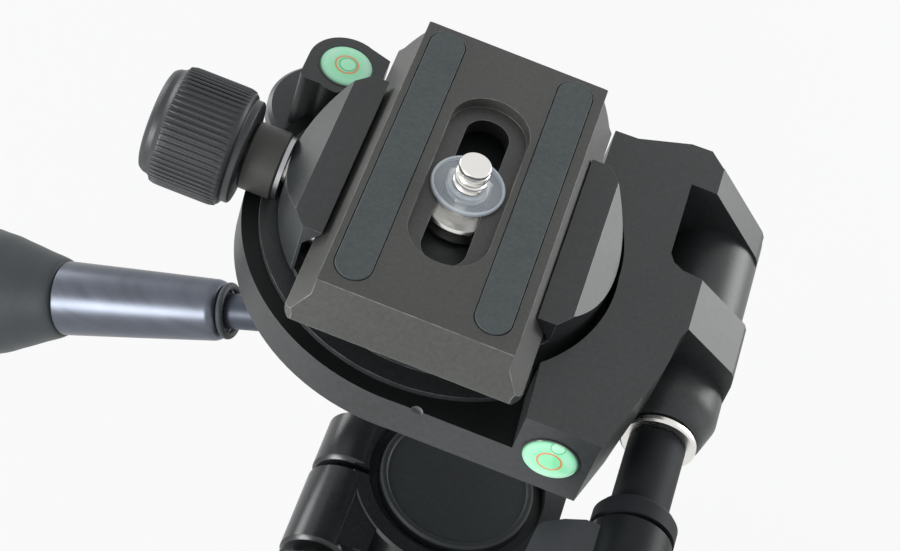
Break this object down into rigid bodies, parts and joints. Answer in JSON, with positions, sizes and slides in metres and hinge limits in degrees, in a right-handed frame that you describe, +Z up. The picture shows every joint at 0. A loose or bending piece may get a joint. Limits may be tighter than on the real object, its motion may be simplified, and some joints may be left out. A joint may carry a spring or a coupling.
{
  "type": "three way pan tilt head",
  "caption": "Three way tripod head with a sliding quick release plate, jaw clamp, bubble levels, long tilt handle and side lock handle.",
  "frame": {"origin": "mouth of the tripod stud socket, middle of the base face, on the pan axis", "axes": "+Z up; -X towards the operator and the main handle, +X the lens side; -Y the side handle"},
  "size_m": [0.2273, 0.1028, 0.1596],
  "materials": {
    "casting": "fine matt powder coat",
    "plate": "fine matt coat",
    "dark_metal": "satin",
    "satin_sleeve": "dark satin anodised",
    "knob": "matt, fluted",
    "rubber": "matt",
    "strip": "grained matt",
    "bright_steel": "turned",
    "grey_steel": "ground",
    "vial": "clear tinted, with liquid and bubble",
    "clear_washer": "translucent",
    "nylon": "natural",
    "brass_pad": "plain"
  },
  "bodies": {
    "base": {"base_foot": "casting", "base_socket": "grey_steel", "foot_screws": "grey_steel", "pan_post": "casting", "pan_cap": "dark_metal", "pan_friction_ring": "knob"},
    "pan": {"pan_housing": "casting", "tilt_arm": "casting", "tilt_drum": "grey_steel", "tilt_drum_screw": "grey_steel", "tilt_end_cap": "dark_metal", "tilt_cap_screw": "grey_steel"},
    "pan_lock": {"pan_lock_bolt": "bright_steel", "pan_lock_knob": "knob"},
    "tilt": {"tilt_housing": "casting", "tilt_brake_pad": "brass_pad", "portrait_stub": "grey_steel", "portrait_washer": "nylon", "portrait_cap": "dark_metal", "portrait_screw": "grey_steel"},
    "main_handle": {"handle_rod": "satin_sleeve", "handle_locknut": "dark_metal", "handle_ring": "rubber", "handle_sleeve": "satin_sleeve", "handle_grip": "rubber", "handle_end_cap": "knob"},
    "platform": {"platform": "casting", "clamp_base": "casting", "clamp_base_screws": "grey_steel", "level_front_bezel": "dark_metal", "level_front_vial": "vial", "level_top_bezel": "dark_metal", "level_top_vial": "vial", "lug_foot": "dark_metal", "jaw_springs": "bright_steel"},
    "jaw": {"moving_jaw": "casting", "clamp_bush": "satin_sleeve", "clamp_washer": "bright_steel"},
    "clamp_knob": {"clamp_knob": "knob", "clamp_screw": "bright_steel"},
    "side_handle": {"side_bolt": "bright_steel", "side_washer": "bright_steel", "side_sleeve": "knob", "side_collar": "dark_metal", "side_lever": "satin_sleeve"},
    "plate": {"quick_release_plate": "plate", "rubber_strip_left": "strip", "rubber_strip_right": "strip"},
    "screw_carriage": {"retaining_washer": "clear_washer"},
    "screw": {"camera_screw": "bright_steel"}
  },
  "joints": [
    {"name": "pan_turn", "type": "hinge", "parent": "base", "child": "pan", "pos_m": [0, 0, 0.018], "axis": [0, 0, 1], "continuous": true},
    {"name": "pan_lock_turn", "type": "hinge", "parent": "pan", "child": "pan_lock", "pos_m": [-0.023, -0.03, 0.0205], "axis": [0, 1, 0], "range_deg": [-180, 180]},
    {"name": "tilt_turn", "type": "hinge", "parent": "pan", "child": "tilt", "pos_m": [0.0065, 0.0185, 0.0645], "axis": [0, 1, 0], "range_deg": [-20, 90]},
    {"name": "main_handle_turn", "type": "hinge", "parent": "tilt", "child": "main_handle", "pos_m": [0.0065, 0.0174, 0.0645], "axis": [-0.9018, 0, -0.4321], "range_deg": [-180, 180]},
    {"name": "portrait_turn", "type": "hinge", "parent": "tilt", "child": "platform", "pos_m": [0.03, 0.0174, 0.07], "axis": [-1, 0, 0], "range_deg": [0, 90]},
    {"name": "side_handle_turn", "type": "hinge", "parent": "platform", "child": "side_handle", "pos_m": [0.031, -0.03, 0.0905], "axis": [0, 1, 0], "range_deg": [-90, 90]},
    {"name": "jaw_slide", "type": "slide", "parent": "platform", "child": "jaw", "axis": [1, 0, 0], "range_m": [-0.002, 0.0009]},
    {"name": "clamp_knob_turn", "type": "hinge", "parent": "jaw", "child": "clamp_knob", "pos_m": [-0.07, -0.0015, 0.1055], "axis": [1, 0, 0], "range_deg": [-720, 324]},
    {"name": "plate_slide", "type": "slide", "parent": "platform", "child": "plate", "axis": [0, 1, 0], "range_m": [-0.025, 0.025]},
    {"name": "screw_slide", "type": "slide", "parent": "plate", "child": "screw_carriage", "axis": [0, 1, 0], "range_m": [-0.012, 0.012]},
    {"name": "screw_turn", "type": "hinge", "parent": "screw_carriage", "child": "screw", "pos_m": [-0.021, 0, 0.12], "axis": [0, 0, 1], "continuous": true}
  ],
  "couplings": [
    {"joint": "clamp_knob_turn", "follows": "jaw_slide", "rad_per_m": 6283.2}
  ]
}
